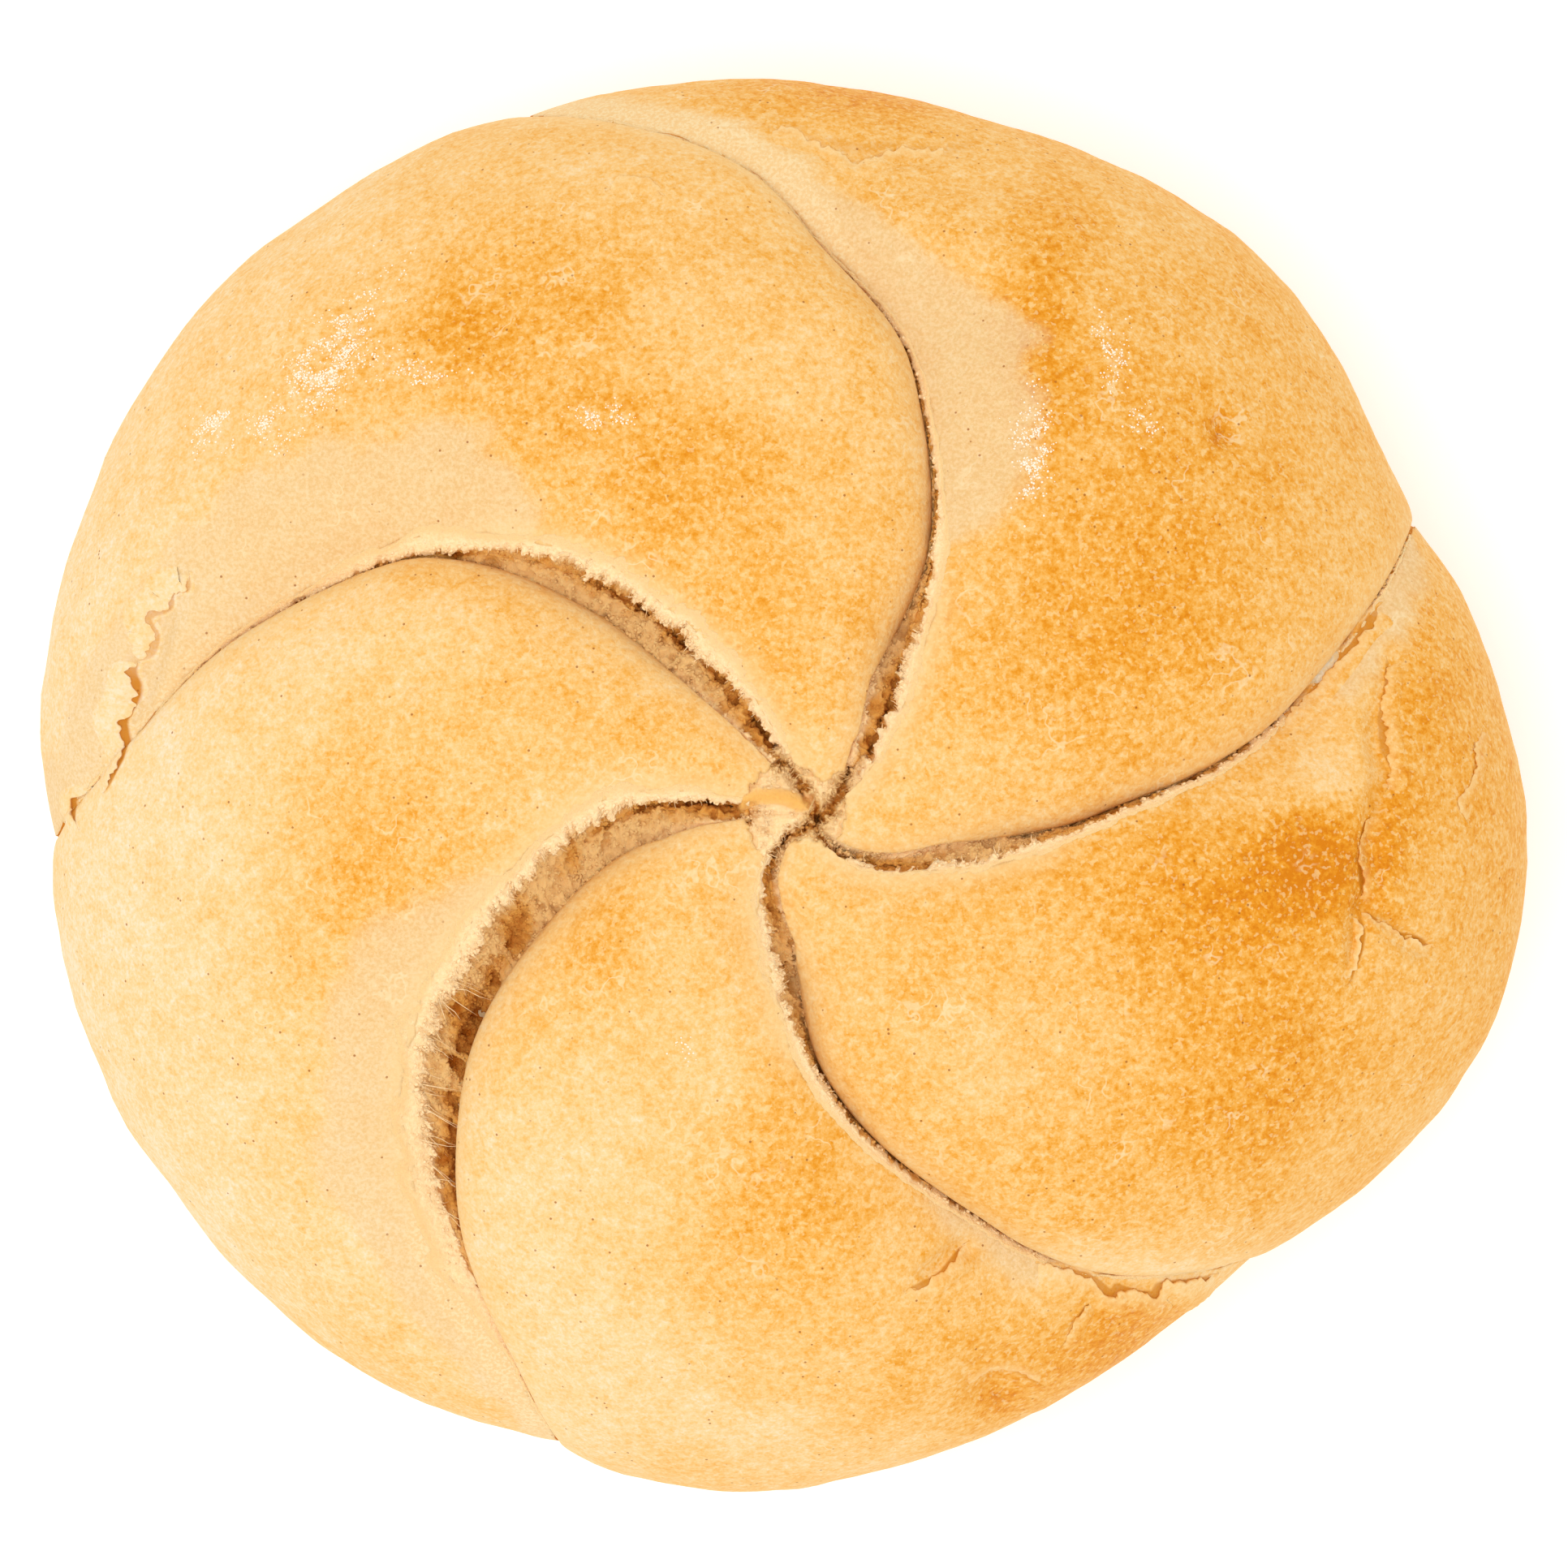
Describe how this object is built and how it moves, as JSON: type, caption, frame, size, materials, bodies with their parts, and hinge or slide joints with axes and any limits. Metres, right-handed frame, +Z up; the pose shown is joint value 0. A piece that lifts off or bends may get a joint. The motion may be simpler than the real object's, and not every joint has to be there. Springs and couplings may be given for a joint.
{
  "type": "bread roll",
  "caption": "Round white bread roll with a stamped swirl on top, its seams torn open in baking, on a flat foot.",
  "frame": {"origin": "on the surface the roll stands on, under the middle of its box", "axes": "+Z up through the top, +X along the roll's longer side, +Y towards the side where one seam runs out along the rim"},
  "size_m": [0.11, 0.104, 0.0484],
  "materials": {
    "crust": "dry baked crust, golden to brown and mottled, matt with a faint sheen",
    "crumb": "torn open-pored crumb inside the seams, cream and dull",
    "flour": "dry white flour, dull"
  },
  "bodies": {
    "root": {"roll": "crust"}
  },
  "joints": []
}
